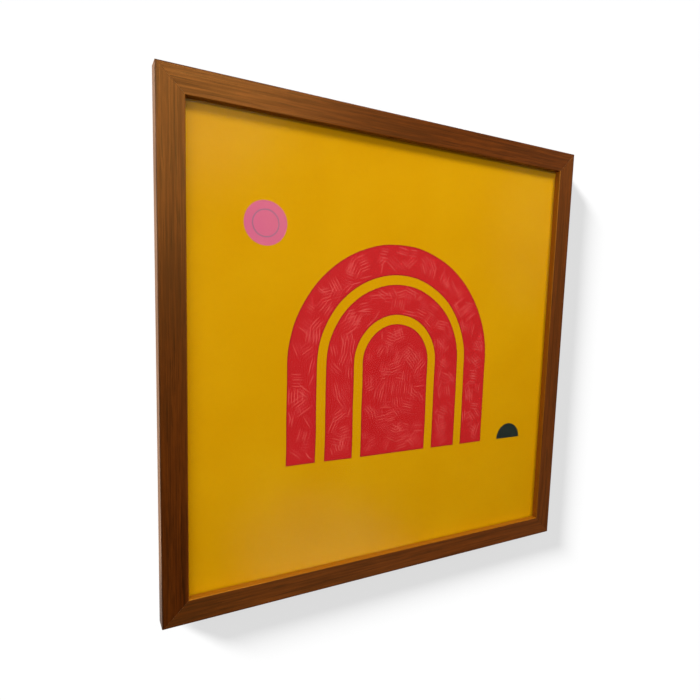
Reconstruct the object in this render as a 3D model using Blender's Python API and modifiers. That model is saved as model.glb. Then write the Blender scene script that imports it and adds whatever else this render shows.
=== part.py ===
"""A square framed picture that hangs on a wall.

Four mitred rails with a rabbet hold clear glazing, a printed sheet and a backing board.
V-shaped nails join the mitres, flexible tabs hold the backing, and the picture hangs
on a sawtooth hanger, with two soft bumpers that keep it parallel to the wall.

X runs across the picture, Y from its front to the wall, Z up. The origin is the top of
the hanger's middle notch, in the plane of the wall, where the wall's nail bears.
"""
import math

import bmesh
import bpy
from mathutils import Matrix

# Driving dimensions, in metres
SIGHT = 0.394                 # the print's visible width and height
FACE = 0.021                  # width of the moulding's flat face
DEPTH = 0.016                 # moulding, front to back
LIP_WIDTH = 0.007             # how far the lip laps over the glazing's edge
LIP_DEPTH = 0.0065            # front of the moulding to the back of its lip
OUTER_ROUND = 0.0018          # rounding of the outer front arris
INNER_ROUND = 0.0009          # rounding of the arris at the picture
BACK_ROUND = 0.0006           # rounding of the outer back arris
SHEET = 0.406                 # glazing, print and backing board, each way
GLAZING_THICK = 0.0020
PRINT_THICK = 0.0005
BACKING_THICK = 0.0030
WALL_GAP = 0.0030             # back of the moulding to the wall
GAP = 0.0003                  # between pieces that touch

# What follows from them
OUTER = SIGHT + 2 * FACE
HALF = OUTER / 2
FLANGE = FACE - LIP_WIDTH     # width of the moulding behind the lip
BACK_Y = -WALL_GAP
FRONT_Y = BACK_Y - DEPTH
GLAZING_Y = FRONT_Y + LIP_DEPTH + GAP
PRINT_Y = GLAZING_Y + GLAZING_THICK + GAP
BACKING_Y = PRINT_Y + PRINT_THICK + GAP
TAB_Y = BACKING_Y + BACKING_THICK + GAP

# V-shaped nails that join the mitres
CORNER_NAIL_ARM = 0.0065
CORNER_NAIL_THICK = 0.0008
CORNER_NAIL_HIGH = 0.0070
CORNER_NAIL_INSET = 0.0042    # from the frame's outer edges to the apex

# Flexible tabs that hold the backing board
TAB_LONG = 0.0150
TAB_WIDE = 0.0080
TAB_THICK = 0.0006
TAB_SUNK = 0.0050             # length held in the moulding
TAB_END_ROUND = 0.0025
TAB_POINT = 0.0015            # how much the sunk end narrows on each side
TAB_SPREAD = 0.130            # between neighbouring tabs on one side
TABS_PER_SIDE = 3

# Sawtooth hanger and its two nails
HANGER_LONG = 0.044
HANGER_WIDE = 0.0090
HANGER_THICK = 0.0009
HANGER_RAISED = 0.0270        # length of the raised, toothed part
HANGER_RAMP = 0.0035          # length of each slope up to it
NOTCH_WIDE = 0.0024
NOTCH_DEEP = 0.0015
NOTCH_PITCH = 0.0032
NOTCHES = 7
NAIL_SHANK_RADIUS = 0.0006
NAIL_HEAD_RADIUS = 0.0015
NAIL_HEAD_THICK = 0.0007
NAIL_LONG = 0.0080
NAIL_INSET = 0.0030           # from each end of the hanger

# Bumpers on the bottom rail
BUMPER_RADIUS = 0.0050
BUMPER_INSET = 0.030          # from the frame's outer side to the bumper's centre
BUMPER_ROUND = 0.0007

ARC_STEPS = 6
ROUND_SIDES = 24
SMALL_SIDES = 16
OVERCUT = 0.001               # how far a cutter passes the surface that it opens
WELD = 1e-6

# The hanger's middle notch is the origin, so the frame's centre lies below it
HANGER_Z = HALF - FLANGE / 2
NOTCH_TOP_Z = HANGER_Z - HANGER_WIDE / 2 + NOTCH_DEEP
CENTRE_Z = -NOTCH_TOP_Z

SIDES = ("top_rail", "right_stile", "bottom_rail", "left_stile")
QUARTER = math.pi / 2
ALONG_X = Matrix.Rotation(QUARTER, 4, "Y")    # an outline's X turns to -Z, its thickness to X
UPRIGHT = Matrix.Rotation(QUARTER, 4, "X")    # an outline's Y turns to Z, its thickness to Y

# Linear base colour, roughness, metallic
FINISHES = {
    "stained_wood": ((0.205, 0.083, 0.028), 0.42, 0.0),
    "clear_glazing": ((0.92, 0.95, 0.94), 0.08, 0.0),
    "printed_paper": ((0.640, 0.340, 0.016), 0.60, 0.0),
    "hardboard": ((0.190, 0.110, 0.060), 0.80, 0.0),
    "blackened_steel": ((0.030, 0.030, 0.032), 0.45, 1.0),
    "bright_steel": ((0.520, 0.520, 0.510), 0.32, 1.0),
    "brassed_steel": ((0.620, 0.430, 0.170), 0.34, 1.0),
    "soft_rubber": ((0.018, 0.018, 0.020), 0.70, 0.0),
}


def clear_scene():
    """Remove what the new file holds."""
    for obj in list(bpy.data.objects):
        bpy.data.objects.remove(obj, do_unlink=True)


def new_collection(name):
    """Make a collection in the scene."""
    collection = bpy.data.collections.new(name)
    bpy.context.scene.collection.children.link(collection)
    return collection


def finish(name):
    """Return the named finish as a material, made once."""
    material = bpy.data.materials.get(name)
    if material:
        return material
    colour, roughness, metallic = FINISHES[name]
    material = bpy.data.materials.new(name)
    material.use_nodes = True
    shader = material.node_tree.nodes["Principled BSDF"]
    shader.inputs["Base Color"].default_value = (*colour, 1.0)
    shader.inputs["Roughness"].default_value = roughness
    shader.inputs["Metallic"].default_value = metallic
    return material


def rounded(corners):
    """Turn (x, y, radius) corners, listed in order, into outline points with arcs."""
    points = []
    count = len(corners)
    for index, (x, y, radius) in enumerate(corners):
        if not radius:
            points.append((x, y))
            continue
        before = corners[index - 1]
        after = corners[(index + 1) % count]
        towards_before = math.atan2(before[1] - y, before[0] - x)
        towards_after = math.atan2(after[1] - y, after[0] - x)
        opening = math.remainder(towards_after - towards_before, math.tau)
        reach = radius / math.sin(abs(opening) / 2)
        middle = towards_before + opening / 2
        centre_x = x + reach * math.cos(middle)
        centre_y = y + reach * math.sin(middle)
        sweep = math.copysign(math.pi - abs(opening), -opening)
        start = middle + math.pi - sweep / 2
        for step in range(ARC_STEPS + 1):
            angle = start + sweep * step / ARC_STEPS
            points.append((centre_x + radius * math.cos(angle), centre_y + radius * math.sin(angle)))
    return points


def prism(name, outline, thickness, turn=None):
    """Return the mesh of a flat outline with a thickness, turned if asked."""
    curve = bpy.data.curves.new(name, "CURVE")
    curve.dimensions = "2D"
    curve.fill_mode = "BOTH"
    curve.extrude = thickness / 2
    spline = curve.splines.new("POLY")
    spline.points.add(len(outline) - 1)
    for point, (x, y) in zip(spline.points, outline):
        point.co = (x, y, 0.0, 1.0)
    spline.use_cyclic_u = True
    drawn = bpy.data.objects.new(name, curve)
    bpy.context.scene.collection.objects.link(drawn)
    bpy.context.view_layer.update()
    evaluated = drawn.evaluated_get(bpy.context.evaluated_depsgraph_get())
    mesh = bpy.data.meshes.new_from_object(evaluated)
    bpy.data.objects.remove(drawn, do_unlink=True)
    tidy = bmesh.new()
    tidy.from_mesh(mesh)
    bmesh.ops.remove_doubles(tidy, verts=tidy.verts, dist=WELD)
    bmesh.ops.recalc_face_normals(tidy, faces=tidy.faces)
    tidy.to_mesh(mesh)
    tidy.free()
    if turn:
        mesh.transform(turn)
    mesh.name = name
    return mesh


def box(name, width, depth, height):
    """Return the mesh of a box about its centre."""
    mesh = bpy.data.meshes.new(name)
    shape = bmesh.new()
    bmesh.ops.create_cube(shape, size=1.0)
    bmesh.ops.scale(shape, vec=(width, depth, height), verts=shape.verts)
    shape.to_mesh(mesh)
    shape.free()
    return mesh


def rod(name, radius, length, sides):
    """Return the mesh of a round rod along Y, about its centre."""
    mesh = bpy.data.meshes.new(name)
    shape = bmesh.new()
    bmesh.ops.create_cone(
        shape, cap_ends=True, segments=sides, radius1=radius, radius2=radius, depth=length,
    )
    shape.to_mesh(mesh)
    shape.free()
    mesh.transform(UPRIGHT)
    return mesh


def place(collection, name, mesh, location, centre, turn=0.0):
    """Put a mesh in the scene as an object, turned about Y round the picture's centre."""
    obj = bpy.data.objects.new(name, mesh)
    collection.objects.link(obj)
    obj.parent = centre
    obj.matrix_basis = Matrix.Rotation(turn, 4, "Y") @ Matrix.Translation(location)
    return obj


def dress(obj, finish_name, smooth=False):
    """Give an object its finish, and smooth shading on its round faces."""
    mesh = obj.data
    if not mesh.materials:
        mesh.materials.append(finish(finish_name))
    if smooth:
        mesh.shade_smooth()
        mesh.set_sharp_from_angle(angle=math.radians(35))
    return obj


def hide_cutter(obj):
    """Show a cutter as wires only."""
    obj.hide_render = True
    obj.display_type = "WIRE"


def cut(obj, cutters):
    """Cut a collection of shapes out of an object."""
    modifier = obj.modifiers.new("cut", "BOOLEAN")
    modifier.operation = "DIFFERENCE"
    modifier.operand_type = "COLLECTION"
    modifier.collection = cutters
    modifier.solver = "EXACT"


def rail_outline():
    """The moulding's section: X from the outer edge inward, Y from front to back."""
    lip_back = FRONT_Y + LIP_DEPTH
    return rounded([
        (0.0, FRONT_Y, OUTER_ROUND),
        (FACE, FRONT_Y, INNER_ROUND),
        (FACE, lip_back, 0.0),
        (FLANGE, lip_back, 0.0),
        (FLANGE, BACK_Y, 0.0),
        (0.0, BACK_Y, BACK_ROUND),
    ])


def rail_mesh():
    """The top rail, with each end cut back at 45 degrees to meet its neighbour."""
    mesh = prism("rail", rail_outline(), OUTER, ALONG_X)
    pull_back = GAP / 2 * math.sqrt(2)
    for vertex in mesh.vertices:
        from_outer_edge = -vertex.co.z
        reach = HALF - from_outer_edge - pull_back
        vertex.co.x = math.copysign(reach, vertex.co.x)
    return mesh


def make_rails(parts, cutters, centre):
    """The four rails, all from one mesh, each with the cuts that reach it."""
    mesh = rail_mesh()
    for side, name in enumerate(SIDES):
        rail = place(parts, name, mesh, (0.0, 0.0, HALF), centre, side * QUARTER)
        cut(rail, cutters)
        dress(rail, "stained_wood", smooth=True)


def corner_nail_outline(clearance):
    """A V with square arms, its apex towards the top right corner, grown by a clearance."""
    near = clearance
    far = CORNER_NAIL_THICK + clearance
    arm = CORNER_NAIL_ARM + clearance
    return [(near, near), (-arm, near), (-arm, -far), (-far, -far), (-far, -arm), (near, -arm)]


def make_corner_nails(parts, cutters, centre):
    """One V nail across the back of each mitre, and the slot that it sits in."""
    nail = prism("corner_nail", corner_nail_outline(0.0), CORNER_NAIL_HIGH, UPRIGHT)
    slot_deep = CORNER_NAIL_HIGH + 2 * GAP + OVERCUT
    slot = prism("corner_slot", corner_nail_outline(GAP), slot_deep, UPRIGHT)
    apex = HALF - CORNER_NAIL_INSET
    nail_y = BACK_Y - GAP - CORNER_NAIL_HIGH / 2
    slot_y = BACK_Y + OVERCUT - slot_deep / 2
    for corner in range(len(SIDES)):
        turn = corner * QUARTER
        placed = place(parts, f"corner_nail_{corner + 1}", nail, (apex, nail_y, apex), centre, turn)
        dress(placed, "bright_steel")
        hide_cutter(place(cutters, f"corner_slot_{corner + 1}", slot, (apex, slot_y, apex), centre, turn))


def make_sheets(parts, centre):
    """Glazing, print and backing board, from front to back in the rabbet."""
    sheets = (
        ("glazing", GLAZING_Y, GLAZING_THICK, "clear_glazing"),
        ("art_print", PRINT_Y, PRINT_THICK, "printed_paper"),
        ("backing_board", BACKING_Y, BACKING_THICK, "hardboard"),
    )
    for name, front, thick, finish_name in sheets:
        sheet = place(parts, name, box(name, SHEET, thick, SHEET), (0.0, front + thick / 2, 0.0), centre)
        dress(sheet, finish_name)


def tab_outline():
    """A tab for the top rail: its sunk end at +Y narrows, its free end at -Y is round."""
    half = TAB_WIDE / 2
    free_end = TAB_SUNK - TAB_LONG
    return rounded([
        (-half + TAB_POINT, TAB_SUNK, 0.0),
        (-half, 0.0, 0.0),
        (-half, free_end, TAB_END_ROUND),
        (half, free_end, TAB_END_ROUND),
        (half, 0.0, 0.0),
        (half - TAB_POINT, TAB_SUNK, 0.0),
    ])


def make_tabs(parts, cutters, centre):
    """Tabs in the rabbet's wall, lapped over the backing, and the slots that hold them."""
    tab = prism("retaining_tab", tab_outline(), TAB_THICK, UPRIGHT)
    slot = box("tab_slot", TAB_WIDE + 2 * GAP, TAB_THICK + 2 * GAP, TAB_SUNK + GAP + OVERCUT)
    wall = HALF - FLANGE
    tab_y = TAB_Y + TAB_THICK / 2
    slot_z = wall + (TAB_SUNK + GAP - OVERCUT) / 2
    for side in range(len(SIDES)):
        for index in range(TABS_PER_SIDE):
            along = (index - (TABS_PER_SIDE - 1) / 2) * TAB_SPREAD
            number = side * TABS_PER_SIDE + index + 1
            turn = side * QUARTER
            placed = place(parts, f"retaining_tab_{number:02d}", tab, (along, tab_y, wall), centre, turn)
            dress(placed, "blackened_steel", smooth=True)
            hide_cutter(place(cutters, f"tab_slot_{number:02d}", slot, (along, tab_y, slot_z), centre, turn))


def hanger_outline():
    """The hanger's bent strip seen from below: X along it, Y towards the wall."""
    end = HANGER_LONG / 2
    top = HANGER_RAISED / 2
    foot = top + HANGER_RAMP
    foot_y = BACK_Y + GAP + HANGER_THICK
    path = [(-end, foot_y), (-foot, foot_y), (-top, 0.0), (top, 0.0), (foot, foot_y), (end, foot_y)]
    return path + [(x, y - HANGER_THICK) for x, y in reversed(path)]


def teeth_outline():
    """The shape that cuts the notches: a comb that stands on a bar below the strip's edge."""
    points = []
    for index in range(NOTCHES):
        x = (index - (NOTCHES - 1) / 2) * NOTCH_PITCH
        points += [(x - NOTCH_WIDE / 2, 0.0), (x, NOTCH_DEEP), (x + NOTCH_WIDE / 2, 0.0)]
    left = points[0][0] - OVERCUT
    right = points[-1][0] + OVERCUT
    bar = 2 * OVERCUT
    return [(left, 0.0)] + points + [(right, 0.0), (right, -bar), (left, -bar)]


def make_hanger(parts, cutters, hanger_cutters, centre):
    """The toothed strip and its two nails, with their holes in it and in the top rail."""
    strip = prism("sawtooth_hanger", hanger_outline(), HANGER_WIDE)
    hanger = place(parts, "sawtooth_hanger", strip, (0.0, 0.0, HANGER_Z), centre)
    dress(hanger, "brassed_steel")
    teeth = prism("hanger_teeth", teeth_outline(), 2 * WALL_GAP, UPRIGHT)
    hide_cutter(place(
        hanger_cutters, "hanger_teeth", teeth, (0.0, 0.0, HANGER_Z - HANGER_WIDE / 2), centre,
    ))
    hole = rod("nail_hole", NAIL_SHANK_RADIUS + GAP, 2 * (NAIL_LONG + GAP), SMALL_SIDES)
    nail = nail_mesh()
    nail_x = HANGER_LONG / 2 - NAIL_INSET
    for name, x in (("hanger_nail_left", -nail_x), ("hanger_nail_right", nail_x)):
        place_nail = (x, BACK_Y, HANGER_Z)
        dress(place(parts, name, nail, place_nail, centre), "bright_steel", smooth=True)
        hide_cutter(place(cutters, f"{name}_pilot", hole, place_nail, centre))
        hide_cutter(place(hanger_cutters, f"{name}_hole", hole, place_nail, centre))
    cut(hanger, hanger_cutters)


def nail_mesh():
    """A round nail turned about Y, its place the moulding's back, its head at +Y."""
    under_head = 2 * GAP + HANGER_THICK
    profile = (
        (0.0, under_head + NAIL_HEAD_THICK),
        (NAIL_HEAD_RADIUS * 0.7, under_head + NAIL_HEAD_THICK),
        (NAIL_HEAD_RADIUS, under_head + NAIL_HEAD_THICK * 0.4),
        (NAIL_HEAD_RADIUS, under_head),
        (NAIL_SHANK_RADIUS, under_head),
        (NAIL_SHANK_RADIUS, -NAIL_LONG + 2 * NAIL_SHANK_RADIUS),
        (0.0, -NAIL_LONG),
    )
    return turned("hanger_nail", profile, SMALL_SIDES)


def turned(name, profile, sides):
    """Return the mesh of a (radius, height) profile, listed top to bottom, turned about Y."""
    mesh = bpy.data.meshes.new(name)
    shape = bmesh.new()
    chain = [shape.verts.new((radius, 0.0, height)) for radius, height in profile]
    for first, second in zip(chain, chain[1:]):
        shape.edges.new((first, second))
    shape.to_mesh(mesh)
    shape.free()
    lathe = bpy.data.objects.new(name, mesh)
    bpy.context.scene.collection.objects.link(lathe)
    screw = lathe.modifiers.new("turn", "SCREW")
    screw.steps = sides
    screw.render_steps = sides
    screw.use_merge_vertices = True
    screw.merge_threshold = WELD
    bpy.context.view_layer.update()
    evaluated = lathe.evaluated_get(bpy.context.evaluated_depsgraph_get())
    solid = bpy.data.meshes.new_from_object(evaluated)
    bpy.data.objects.remove(lathe, do_unlink=True)
    tidy = bmesh.new()
    tidy.from_mesh(solid)
    bmesh.ops.remove_doubles(tidy, verts=tidy.verts, dist=WELD)
    bmesh.ops.recalc_face_normals(tidy, faces=tidy.faces)
    tidy.to_mesh(solid)
    tidy.free()
    solid.transform(Matrix.Rotation(-QUARTER, 4, "X"))
    return solid


def make_bumpers(parts, centre):
    """Two soft discs on the back of the bottom rail, flush with the wall."""
    tall = WALL_GAP - GAP
    arc = [
        (
            BUMPER_RADIUS - BUMPER_ROUND + BUMPER_ROUND * math.sin(QUARTER * step / ARC_STEPS),
            tall - BUMPER_ROUND + BUMPER_ROUND * math.cos(QUARTER * step / ARC_STEPS),
        )
        for step in range(ARC_STEPS + 1)
    ]
    profile = [(0.0, tall)] + arc + [(BUMPER_RADIUS, 0.0), (0.0, 0.0)]
    mesh = turned("wall_bumper", profile, ROUND_SIDES)
    x = HALF - BUMPER_INSET
    z = -HALF + FLANGE / 2
    for name, side_x in (("wall_bumper_left", -x), ("wall_bumper_right", x)):
        bumper = place(parts, name, mesh, (side_x, BACK_Y + GAP, z), centre)
        dress(bumper, "soft_rubber", smooth=True)


def main():
    clear_scene()
    parts = new_collection("framed_picture")
    cutters = new_collection("rail_cutters")
    hanger_cutters = new_collection("hanger_cutters")
    centre = bpy.data.objects.new("picture_centre", None)
    centre.location = (0.0, 0.0, CENTRE_Z)
    parts.objects.link(centre)
    make_corner_nails(parts, cutters, centre)
    make_tabs(parts, cutters, centre)
    make_hanger(parts, cutters, hanger_cutters, centre)
    make_rails(parts, cutters, centre)
    make_sheets(parts, centre)
    make_bumpers(parts, centre)


main()
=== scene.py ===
"""Looks of a square framed picture: stained wooden moulding, clear glazing, a printed sheet and its back."""
import math
import random

import bmesh
import bpy
from mathutils import Matrix, Vector, noise


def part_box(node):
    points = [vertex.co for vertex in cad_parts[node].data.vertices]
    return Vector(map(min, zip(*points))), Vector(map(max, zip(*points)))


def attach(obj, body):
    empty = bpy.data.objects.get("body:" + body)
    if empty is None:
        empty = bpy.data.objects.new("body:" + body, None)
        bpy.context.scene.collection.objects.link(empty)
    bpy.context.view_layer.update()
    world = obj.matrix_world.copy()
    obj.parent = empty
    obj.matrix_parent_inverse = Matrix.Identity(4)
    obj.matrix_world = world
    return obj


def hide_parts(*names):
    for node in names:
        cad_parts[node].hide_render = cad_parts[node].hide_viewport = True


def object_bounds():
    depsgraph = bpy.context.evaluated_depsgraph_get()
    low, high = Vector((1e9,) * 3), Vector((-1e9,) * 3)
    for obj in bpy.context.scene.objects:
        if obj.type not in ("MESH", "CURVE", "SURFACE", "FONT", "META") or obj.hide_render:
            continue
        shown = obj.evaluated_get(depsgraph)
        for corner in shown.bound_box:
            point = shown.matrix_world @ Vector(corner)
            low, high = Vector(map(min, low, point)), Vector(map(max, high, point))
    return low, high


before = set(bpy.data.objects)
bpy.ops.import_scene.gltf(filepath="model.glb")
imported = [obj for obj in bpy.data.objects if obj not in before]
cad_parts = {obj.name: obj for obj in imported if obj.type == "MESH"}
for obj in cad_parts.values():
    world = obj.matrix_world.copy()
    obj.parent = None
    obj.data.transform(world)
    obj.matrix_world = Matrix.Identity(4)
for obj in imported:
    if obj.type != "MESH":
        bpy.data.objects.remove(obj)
CAD_LOW, CAD_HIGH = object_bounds()

# Sizes and places read from the frame, in metres
TOP_LOW, TOP_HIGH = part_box("top_rail")
GLAZING_LOW, GLAZING_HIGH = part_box("glazing")
PRINT_LOW, PRINT_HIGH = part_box("art_print")
BOARD_LOW, BOARD_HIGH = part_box("backing_board")
HANGER_LOW, HANGER_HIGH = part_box("sawtooth_hanger")
HALF = CAD_HIGH.x
FACE = TOP_HIGH.z - TOP_LOW.z
FRONT_Y = CAD_LOW.y
BACK_Y = TOP_HIGH.y
CENTRE_Z = (CAD_LOW.z + CAD_HIGH.z) / 2
SIGHT_HALF = HALF - FACE
SHEET_HALF = PRINT_HIGH.x

# The moulding's finer shape
TOUCH_GAP = 0.0003             # the gap that the frame keeps between pieces that touch
RABBET_ROOM = 0.001            # between a sheet's edge and the rabbet's wall
FLANGE = HALF - SHEET_HALF - RABBET_ROOM
LIP_BACK_Y = GLAZING_LOW.y - TOUCH_GAP
OUTER_ROUND = 0.0018
INNER_ROUND = 0.0009
BACK_ROUND = 0.0006
ARC_STEPS = 10
MITRE_GAP = 0.00008
EASED_EDGE = 0.00014
SLOT_OPENING = 0.001           # how far the slot's cutter passes the moulding's back
TINY = 1e-6
SLIVER = 5e-6
STAINED, BARE = 0, 1           # the rails' two finishes
LIP_LIGHT_BLEND = (0.0009, 0.0001)   # beyond the sight edge, where the face's stain turns to the lip's painted light and shade
UNDER_LIP_SHADE = (0.0018, 0.0004)   # within the sight edge, where painted shade darkens the print under the top lip
STAIN_REACH = 0.0056           # the furthest that stain has run over the back
DRIVEN = sorted(
    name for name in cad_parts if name.startswith(("corner_nail", "retaining_tab", "hanger_nail"))
)

# The photograph's camera, in half-widths of the picture from the middle of its face
CAMERA_PLACE = (-1.2591, -1.9408, 0.2376)
CAMERA_YAW = math.radians(28.83)
CAMERA_PITCH = math.radians(-6.47)
CAMERA_ROLL = math.radians(1.735)
FOCAL_PIXELS = 529.7
CENTRE_PIXEL = (363.0, 359.4)
IMAGE_PIXELS = 700
SENSOR = 36.0

QUARTER = math.pi / 2
SIDES = ("top_rail", "right_stile", "bottom_rail", "left_stile")
UPRIGHT = Matrix.Rotation(QUARTER, 4, "X")


# Small helpers for node trees

def set_values(node, values):
    """Give a node's inputs plain values."""
    for key, value in values.items():
        node.inputs[key].default_value = value


def add(tree, kind, values=None, **settings):
    """Add a node, set its properties and its inputs' plain values."""
    node = tree.nodes.new(kind)
    for key, value in settings.items():
        setattr(node, key, value)
    set_values(node, values or {})
    return node


def join(tree, source, target):
    """Link an output to an input."""
    tree.links.new(source, target)


def feed(tree, value, socket):
    """Give an input another node's output, a colour or a plain value."""
    if isinstance(value, bpy.types.NodeSocket):
        join(tree, value, socket)
    elif socket.type == "RGBA":
        socket.default_value = (*value, 1.0)
    else:
        socket.default_value = value


def math_node(tree, operation, first, second):
    """A Math node on two sockets or numbers; returns its output."""
    node = add(tree, "ShaderNodeMath", operation=operation)
    feed(tree, first, node.inputs[0])
    feed(tree, second, node.inputs[1])
    return node.outputs[0]


def blend(tree, factor, first, second):
    """Mix two colours, each a socket or a tuple, by a factor; returns the colour."""
    node = add(tree, "ShaderNodeMix", data_type="RGBA")
    for index, value in ((0, factor), (6, first), (7, second)):
        feed(tree, value, node.inputs[index])
    return node.outputs[2]


def tint(tree, colour, mask, share, other):
    """Turn a share of a colour to another where a mask says."""
    return blend(tree, math_node(tree, "MULTIPLY", mask, share), colour, other)


def spread(tree, value, low, high, out_low=0.0, out_high=1.0, smooth=False):
    """Map a value's range to another, clamped; returns the result."""
    ranges = {"From Min": low, "From Max": high, "To Min": out_low, "To Max": out_high}
    slope = "SMOOTHSTEP" if smooth else "LINEAR"
    node = add(tree, "ShaderNodeMapRange", ranges, clamp=True, interpolation_type=slope)
    join(tree, value, node.inputs["Value"])
    return node.outputs["Result"]


def component(tree, vector, axis):
    """One component of a vector, by its letter."""
    parts = add(tree, "ShaderNodeSeparateXYZ")
    join(tree, vector, parts.inputs[0])
    return parts.outputs[axis]


def stretched(tree, vector, scale, shift=None):
    """Scale a coordinate, and shift it by a socket if one is given; returns the vector."""
    node = add(tree, "ShaderNodeVectorMath", {1: scale}, operation="MULTIPLY")
    join(tree, vector, node.inputs[0])
    if shift is None:
        return node.outputs[0]
    moved = add(tree, "ShaderNodeVectorMath", operation="ADD")
    join(tree, node.outputs[0], moved.inputs[0])
    join(tree, shift, moved.inputs[1])
    return moved.outputs[0]


def noise_at(tree, vector, scale=1.0, detail=2.0, rough=0.5, distort=0.0):
    """A noise texture's value at a coordinate."""
    values = {"Scale": scale, "Detail": detail, "Roughness": rough, "Distortion": distort}
    node = add(tree, "ShaderNodeTexNoise", values)
    join(tree, vector, node.inputs["Vector"])
    return node.outputs["Fac"]


def new_group(name, inputs, outputs):
    """A node group; returns its tree, the values that it is given and the sockets that it puts out."""
    tree = bpy.data.node_groups.new(name, "ShaderNodeTree")
    for label, kind in inputs.items():
        tree.interface.new_socket(label, in_out="INPUT", socket_type=f"NodeSocket{kind}")
    for label in outputs:
        tree.interface.new_socket(label, in_out="OUTPUT", socket_type="NodeSocketFloat")
    return tree, tree.nodes.new("NodeGroupInput").outputs, tree.nodes.new("NodeGroupOutput").inputs


def use_group(tree, group, **values):
    """Place a group in a tree with its inputs, each a plain value or a socket; returns its outputs."""
    node = add(tree, "ShaderNodeGroup", node_tree=group)
    for label, value in values.items():
        feed(tree, value, node.inputs[label])
    return node.outputs


def new_material(name, roughness, metallic=0.0, specular=0.5):
    """A material with one Principled shader; returns the material, its tree and the shader."""
    material = bpy.data.materials.new(name)
    material.use_nodes = True
    tree = material.node_tree
    shader = tree.nodes["Principled BSDF"]
    set_values(shader, {"Roughness": roughness, "Metallic": metallic, "Specular IOR Level": specular})
    return material, tree, shader


def object_place(tree):
    """The object's own coordinate."""
    return add(tree, "ShaderNodeTexCoord").outputs["Object"]


def raise_bump(tree, shader, height, strength, distance):
    """Feed a height to the shader's normal."""
    bump = add(tree, "ShaderNodeBump", {"Strength": strength, "Distance": distance})
    join(tree, height, bump.inputs["Height"])
    join(tree, bump.outputs["Normal"], shader.inputs["Normal"])


# Shared effects

def make_grain_group():
    """Straight wood grain along X: broad figure, fine streaks, pores and a mottle across them."""
    tree, given, out = new_group(
        "straight_grain", {"Place": "Vector", "Seed": "Vector"}, ("Figure", "Streaks", "Pores", "Mottle"),
    )

    def grain(scale, **values):
        return noise_at(tree, stretched(tree, given["Place"], scale, given["Seed"]), **values)

    mottle = grain((75.0, 230.0, 230.0), detail=3.0, rough=0.6)
    pores = grain((26.0, 1150.0, 1150.0), detail=2.0, rough=0.7)
    join(tree, grain((5.0, 70.0, 70.0), detail=3.0, rough=0.55, distort=0.35), out["Figure"])
    join(tree, grain((14.0, 620.0, 620.0), detail=3.0, rough=0.6), out["Streaks"])
    join(tree, spread(tree, pores, 0.55, 0.68), out["Pores"])
    join(tree, spread(tree, mottle, 0.36, 0.64), out["Mottle"])
    return tree


def make_fibre_group():
    """Pressed fibres of paper and board: soft clouds, fine specks and a height."""
    tree, given, out = new_group(
        "pressed_fibres", {"Place": "Vector", "Scale": "Float"}, ("Clouds", "Specks", "Height"),
    )
    scaled = add(tree, "ShaderNodeVectorMath", operation="SCALE")
    join(tree, given["Place"], scaled.inputs[0])
    join(tree, given["Scale"], scaled.inputs["Scale"])
    place = scaled.outputs[0]
    specks = noise_at(tree, place, scale=1300.0, detail=2.0, rough=0.7)
    join(tree, noise_at(tree, place, scale=14.0, detail=4.0, rough=0.55), out["Clouds"])
    join(tree, spread(tree, specks, 0.35, 0.65), out["Specks"])
    join(tree, noise_at(tree, place, scale=2400.0, detail=3.0, rough=0.65), out["Height"])
    return tree


def make_handled_group():
    """Metal that has been handled: faint smears and fine scratches."""
    tree, given, out = new_group("handled_metal", {"Place": "Vector"}, ("Smears", "Scratches"))
    place = given["Place"]
    scratches = noise_at(tree, stretched(tree, place, (300.0, 4200.0, 4200.0)), detail=2.0, distort=0.6)
    join(tree, noise_at(tree, place, scale=160.0, detail=4.0, rough=0.6), out["Smears"])
    join(tree, spread(tree, scratches, 0.4, 0.7), out["Scratches"])
    return tree


GRAIN = make_grain_group()
FIBRES = make_fibre_group()
HANDLED = make_handled_group()

# Colours, as red, green and blue in linear light
STAIN_DEEP = (0.084, 0.0162, 0.0014)
STAIN_WARM = (0.120, 0.0268, 0.0026)
STAIN_MOTTLE = (0.056, 0.0104, 0.0010)
STAIN_STREAK = (0.040, 0.0070, 0.0007)
STAIN_PORE = (0.014, 0.0028, 0.0005)
STAIN_RUN_OVER = (0.070, 0.0200, 0.0050)
VARNISH_TINT = (1.0, 0.50, 0.12, 1.0)
BARE_DEEP = (0.300, 0.185, 0.090)
BARE_PALE = (0.430, 0.290, 0.155)
BARE_STREAK = (0.205, 0.115, 0.052)
BARE_PORE = (0.095, 0.050, 0.022)
GROUND_DEEP = (0.705, 0.328, 0.0004)
GROUND_PALE = (0.745, 0.362, 0.0018)
GROUND_BRUSHED = (0.722, 0.329, 0.0004)
GROUND_SPECK = (0.560, 0.245, 0.0004)
# colour of the painted shade under the top lip
GROUND_PAINTED_SHADE = (0.110, 0.0400, 0.0004)
PAPER_DEEP = (0.78, 0.77, 0.72)
PAPER_PALE = (0.84, 0.83, 0.79)
GLASS_COLOUR = (0.97, 0.99, 0.98, 1.0)
BOARD_DEEP = (0.175, 0.095, 0.045)
BOARD_PALE = (0.245, 0.142, 0.072)
BOARD_SPECK = (0.100, 0.052, 0.024)
BOARD_FLECK = (0.400, 0.275, 0.160)
RUBBER = (0.020, 0.020, 0.022)
RUBBER_DUST = (0.060, 0.058, 0.056)

# Two shades of each ink
INKS = {
    "deep_red": ((0.430, 0.0080, 0.0110), (0.390, 0.0065, 0.0090)),
    "red": ((0.600, 0.0130, 0.0160), (0.565, 0.0105, 0.0135)),
    "light_red": ((0.760, 0.0780, 0.0720), (0.730, 0.0680, 0.0640)),
    "dull_red": ((0.680, 0.0400, 0.0430), (0.655, 0.0340, 0.0380)),
    "pink": ((0.720, 0.150, 0.225), (0.680, 0.125, 0.235)),
    "mauve": ((0.330, 0.165, 0.235), (0.300, 0.150, 0.220)),
    "dark": ((0.020, 0.026, 0.022), (0.016, 0.024, 0.019)),
}
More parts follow.
